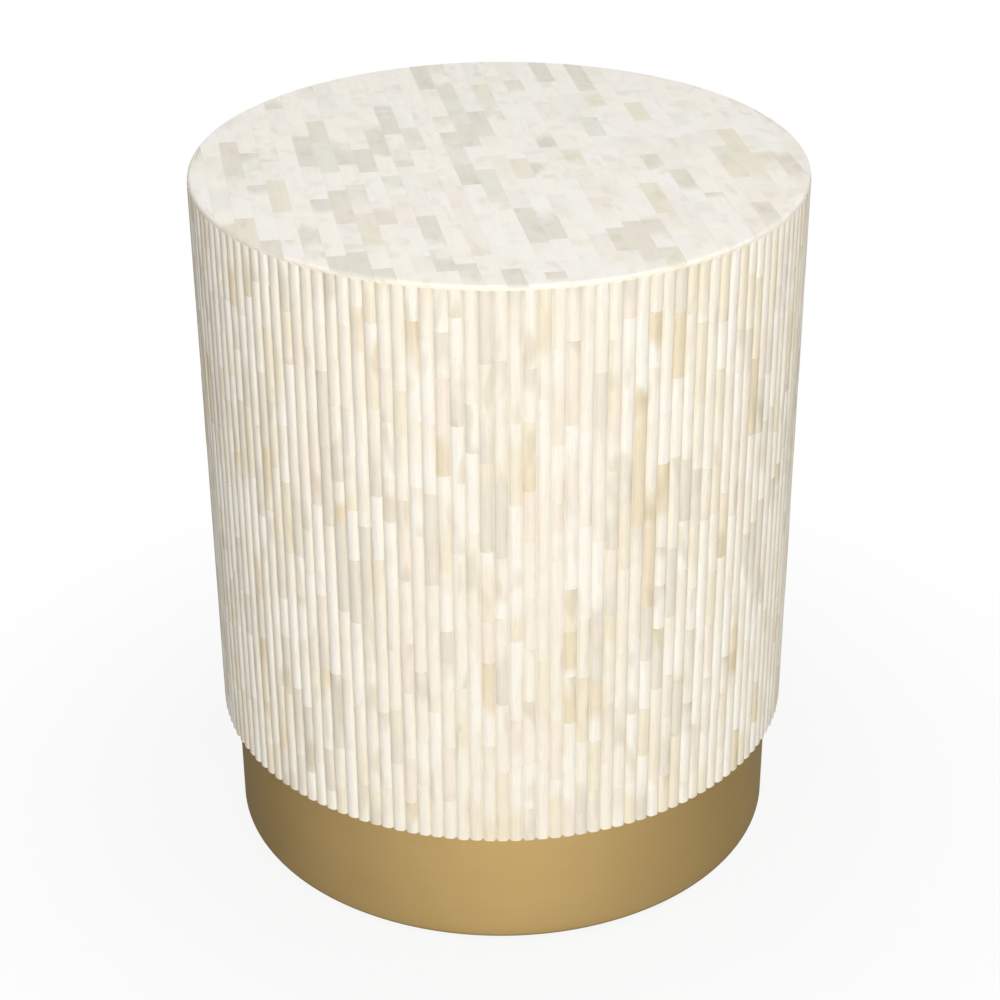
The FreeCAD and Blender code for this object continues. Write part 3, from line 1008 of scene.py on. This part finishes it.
def felt_finish():
    """Dark wool felt with pale fibres and a soft sheen."""
    material, tree, shader = new_finish("wool_felt")
    fibres = grain(tree, place_on(tree), cells=(2200.0, 1400.0, 1800.0), detail=5.0)
    wool = blend(tree, fibres, colour(70, 60, 50), colour(128, 116, 102))
    roughness = spread(tree, fibres, NOISE_MIDDLE, (0.85, 1.0))
    dress(tree, shader, wool, roughness)
    shader.inputs["Sheen Weight"].default_value = 0.35
    hollows(tree, shader, fibres, depth=0.0004)
    return material


wool_felt = felt_finish()
print("felt finish:", wool_felt.name)

# %% Press the felt pads

FELT_CUTS = 11
CORNER_PULL = 0.06
CORNER_POWER = 4
EDGE_PULL = 0.02
EDGE_POWER = 6
FELT_WAVER = 0.0003
FELT_CELLS = 900.0


def press_felt(solid):
    """Square of felt with soft corners, in the place of a solid."""
    low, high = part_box(solid)
    middle, half = (low + high) / 2, (high - low) / 2
    bm = bmesh.new()
    bmesh.ops.create_cube(bm, size=2.0)
    bmesh.ops.subdivide_edges(bm, edges=bm.edges, cuts=FELT_CUTS, use_grid_fill=True)
    for vert in bm.verts:
        x, y, z = vert.co
        reach = 1 - CORNER_PULL * (x * y) ** CORNER_POWER - EDGE_PULL * abs(z) ** EDGE_POWER
        spot = middle + Vector((x * half.x * reach, y * half.y * reach, z * half.z))
        inwards = Vector((x, y, 0.0)) * FELT_WAVER * (noise.noise(spot * FELT_CELLS) - 1)
        vert.co = spot + inwards
    return bm


for solid in solids_named("felt_pad"):
    name = solid.replace("pad", "square")
    add_piece(name, press_felt(solid), solid, [wool_felt])
    low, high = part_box(solid)
    print(f"{name}: {(high - low).z * 1000:.0f} mm thick")

# %% [markdown]
# ## Carcass
#
# Under the bone and the brass are bent ply, boards and softwood. They show only from below and along the
# rim. They could be modelled again with every edge eased, but hardly any of it would be seen, so the
# solids keep their shape and only take a finish.
#
# Bent ply is made of thin veneers. A picture of a cut edge could be laid on it, but it would have to
# follow the round. Here the layers come from the distance to the table's axis: the cut edge then shows
# three veneers to a sheet, and each face shows one.

# %% Make the ply finish

VENEER = 0.00233
VENEER_EDGE = (0.0009, 0.0014)


def ply_finish():
    """Bent ply: veneers in rings round the axis, with upright grain."""
    material, tree, shader = new_finish("bent_ply")
    place = place_on(tree)
    flat = node(tree, "VectorMath", {0: place, 1: (1.0, 1.0, 0.0)}, operation="MULTIPLY").outputs["Vector"]
    radius = node(tree, "VectorMath", {0: flat}, operation="LENGTH").outputs["Value"]
    veneer = node(tree, "Math", {0: radius, 1: VENEER}, operation="PINGPONG").outputs[0]
    layer = spread(tree, veneer, VENEER_EDGE, (0.0, 1.0))
    wood = blend(tree, layer, colour(206, 178, 140), colour(176, 140, 100))
    lines = grain(tree, place, cells=(480.0, 480.0, 22.0), detail=5.0)
    line_share = spread(tree, lines, (0.4, 0.7), (0.0, 0.5))
    lined = blend(tree, line_share, wood, colour(170, 135, 95), "MULTIPLY")
    roughness = spread(tree, lines, NOISE_MIDDLE, (0.6, 0.8))
    dress(tree, shader, lined, roughness)
    hollows(tree, shader, lines, depth=0.0003)
    return material


bent_ply = ply_finish()
print("ply finish:", bent_ply.name)

# %% [markdown]
# Fibre board is pressed from loose wood fibres, so it has flecks and no grain. A plain brown could stand
# for it, but it would look like paint. A fine noise makes the flecks, and a coarse one the clouds between
# them.

# %% Make the board finish


def board_finish():
    """Fibre board: pressed flecks with a few dark ones."""
    material, tree, shader = new_finish("fibre_board")
    place = place_on(tree)
    clouds = grain(tree, place, cells=(40.0, 40.0, 40.0), detail=3.0)
    fibre = blend(tree, clouds, colour(178, 146, 108), colour(158, 124, 88))
    flecks = grain(tree, place, cells=(700.0, 520.0, 900.0), detail=6.0)
    dark_share = spread(tree, flecks, (0.55, 0.72), (0.0, 0.6))
    flecked = blend(tree, dark_share, fibre, colour(108, 78, 50))
    roughness = spread(tree, flecks, NOISE_MIDDLE, (0.7, 0.9))
    dress(tree, shader, flecked, roughness)
    hollows(tree, shader, flecks, depth=0.0002)
    return material


fibre_board = board_finish()
print("board finish:", fibre_board.name)

# %% [markdown]
# The uprights and blocks are planed softwood, pale with darker growth rings. Stripes could be painted
# along them, but they wouldn't meet at the corners. A Wave texture fills the space with rings round an
# axis instead, so that each face cuts the same rings. Its own noise bends them, and a second noise adds
# the fine lines along the wood.

# %% Make the pine finish


def pine_finish():
    """Planed softwood: growth rings bent by a noise, with fine grain along the length."""
    material, tree, shader = new_finish("planed_pine")
    place = place_on(tree)
    inputs = {"Vector": place, "Scale": 38.0, "Distortion": 3.0, "Detail": 2.0, "Detail Scale": 0.6}
    rings = node(tree, "TexWave", inputs, wave_type="RINGS", rings_direction="Z").outputs["Fac"]
    wood = blend(tree, rings, colour(226, 196, 148), colour(196, 152, 98))
    lines = grain(tree, place, cells=(900.0, 900.0, 25.0), detail=4.0)
    line_share = spread(tree, lines, (0.4, 0.7), (0.0, 0.4))
    lined = blend(tree, line_share, wood, colour(190, 150, 100), "MULTIPLY")
    roughness = spread(tree, lines, NOISE_MIDDLE, (0.55, 0.75))
    dress(tree, shader, lined, roughness)
    hollows(tree, shader, lines, depth=0.0002)
    return material


planed_pine = pine_finish()
print("pine finish:", planed_pine.name)

# %% Finish the carcass

CARCASS_FINISHES = {"bending_ply": bent_ply, "board": fibre_board, "pine": planed_pine}

finished = 0
for part in frame["record"]["subparts"]:
    if part["material_slot"] in CARCASS_FINISHES:
        materials = frame["nodes"][part["node"]].data.materials
        materials.clear()
        materials.append(CARCASS_FINISHES[part["material_slot"]])
        finished += 1
print(f"{finished} carcass solids finished")

# %% [markdown]
# ## Studio
#
# The table stands on a pale floor under soft light. A background could be lit until it is white, but that
# light would flood the table. So the Light Path node makes the floor and the sky white to the camera.
# Near the table the floor is only partly so, and keeps the shadow.
#
# Reflections see the floor and the sky too, but dimmer, and the floor fades from the front to the back as
# it would under a lamp in front: satin brass that mirrored a white room would lose the dark sides that
# show how round it is.

# %% Make the floor finish

PAPER = colour(188, 188, 186)
PAPER_ROUGHNESS = 0.9
WHITE = colour(255, 255, 255)
SHADOW_RANGE = (0.24, 0.5)
NEAR_GLOW = 0.9
FRONT_TO_BACK = (-0.32, -0.1)
FRONT_GLOW = 0.52
BACK_GLOW = 0.1


def direct_rays(tree):
    """Two values: 1 for rays from the camera, and 1 for rays from a reflection or through glass."""
    path = node(tree, "LightPath", {})
    inputs = {0: path.outputs["Is Glossy Ray"], 1: path.outputs["Is Transmission Ray"]}
    return path.outputs["Is Camera Ray"], node(tree, "Math", inputs, operation="MAXIMUM").outputs[0]


def pale_floor():
    """Matt pale paper that glows for rays that see it directly."""
    material, tree, shader = new_finish("pale_floor")
    shader.inputs["Base Color"].default_value = PAPER
    shader.inputs["Roughness"].default_value = PAPER_ROUGHNESS
    place = place_on(tree)
    seen, mirrored = direct_rays(tree)
    distance = node(tree, "VectorMath", {0: place}, operation="LENGTH").outputs["Value"]
    share = times_plus(tree, seen, spread(tree, distance, SHADOW_RANGE, (NEAR_GLOW, 1.0)), mirrored)
    depth = node(tree, "SeparateXYZ", {"Vector": place}).outputs["Y"]
    mirror_glow = spread(tree, depth, FRONT_TO_BACK, (FRONT_GLOW, BACK_GLOW))
    strength = times_plus(tree, mirrored, mirror_glow, seen)
    glow = node(tree, "Emission", {"Color": WHITE, "Strength": strength})
    mixed = node(tree, "MixShader", {0: share, 1: shader.outputs[0], 2: glow.outputs[0]})
    tree.links.new(mixed.outputs[0], tree.nodes["Material Output"].inputs["Surface"])
    return material


paper_floor = pale_floor()
print("floor finish:", paper_floor.name)

# %% Lay the floor

FLOOR_REACH = 12.0

bm = bmesh.new()
bmesh.ops.create_grid(bm, x_segments=1, y_segments=1, size=FLOOR_REACH)
floor_mesh = bpy.data.meshes.new("studio_floor")
bm.to_mesh(floor_mesh)
bm.free()
floor_mesh.materials.append(paper_floor)
floor = bpy.data.objects.new("studio_floor", floor_mesh)
bpy.context.scene.collection.objects.link(floor)
floor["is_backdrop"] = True
print(f"floor of {FLOOR_REACH * 2:.0f} m")

# %% Light the sky

SKY_STRENGTH = 0.37
MIRROR_SKY = 0.04

world = bpy.data.worlds.new("studio_sky")
world.use_nodes = True
bpy.context.scene.world = world
sky = world.node_tree
soft = node(sky, "Background", {"Color": WHITE, "Strength": SKY_STRENGTH})
white = node(sky, "Background", {"Color": WHITE, "Strength": 1.0})
seen, mirrored = direct_rays(sky)
share = times_plus(sky, mirrored, MIRROR_SKY, seen)
mixed = node(sky, "MixShader", {0: share, 1: soft.outputs[0], 2: white.outputs[0]})
sky.links.new(mixed.outputs[0], sky.nodes["World Output"].inputs["Surface"])
print(f"sky at {SKY_STRENGTH:.0%} of white")

# %% [markdown]
# A large lamp in front of the table and a little to the right gives the reeds their shaded left flanks.
# One overhead lifts the top, and its light is held to a fan of 90 degrees, as a grid on a soft box does,
# so that little of it reaches the reeds. One at the right and one behind keep the other sides from going
# grey. Small lamps could light the table as brightly, but with hard shadows: the nearer and wider a lamp
# is, the softer the edge of a shadow.
#
# Each lamp has a name, a place, the length of its side in metres, its watts, its fan in degrees and a
# colour.

# %% Hang the lamps

LAMPS = [
    ("key_lamp", (0.12, -1.95, 0.58), 1.25, 21.4, 180, (255, 252, 246)),
    ("top_lamp", (0.1, -0.4, 2.0), 1.0, 4.0, 90, (252, 252, 252)),
    ("side_lamp", (1.8, 1.1, 0.7), 1.2, 10.0, 180, (252, 252, 252)),
    ("back_lamp", (-0.5, 2.5, 0.7), 1.2, 14.0, 180, (252, 252, 252)),
]
LAMP_AIM = Vector((0.0, 0.0, 0.26))

for name, place, side, watts, fan, tint in LAMPS:
    lamp = bpy.data.lights.new(name, "AREA")
    lamp.shape = "SQUARE"
    lamp.size = side
    lamp.energy = watts
    lamp.spread = math.radians(fan)
    lamp.color = colour(*tint)[:3]
    holder = bpy.data.objects.new(name, lamp)
    holder.location = place
    holder.rotation_euler = (LAMP_AIM - Vector(place)).to_track_quat("-Z", "Y").to_euler()
    bpy.context.scene.collection.objects.link(holder)
    print(f"{name}: {watts} W over {side} m")

# %% [markdown]
# A camera could be placed by eye, but then the table would never quite fill the photo's outline. This one
# stands where the photographer stood: the edge of the top, the sides and the foot of the table in the
# photo give its height, its distance, its lens and the angle that it looks down at.

# %% Set up the camera

CAMERA_PLACE = (-0.0006, -1.4097, 1.0176)
LOOKS_DOWN = math.radians(29.10)
TILT = math.radians(-0.345)
LENS = 83.48

camera_data = bpy.data.cameras.new("photo_camera")
camera_data.lens = LENS
camera = bpy.data.objects.new("photo_camera", camera_data)
aim = Matrix.Rotation(math.pi / 2 - LOOKS_DOWN, 4, "X") @ Matrix.Rotation(TILT, 4, "Z")
camera.matrix_world = Matrix.Translation(CAMERA_PLACE) @ aim
bpy.context.scene.collection.objects.link(camera)
bpy.context.scene.camera = camera
bpy.context.scene.view_settings.view_transform = "Standard"
print(f"lens of {LENS:.1f} mm, {math.degrees(LOOKS_DOWN):.1f} degrees down")

# %% [markdown]
# ## Size
#
# The dressed table has to keep the size of the solids. That could be judged from a picture, but numbers
# are surer: the size of the dressed table is printed here, to be set against the size of the solids
# printed at the start.

# %% Print the size of the dressed table

low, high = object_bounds()
print("dressed table:", [round(value, 4) for value in high - low])
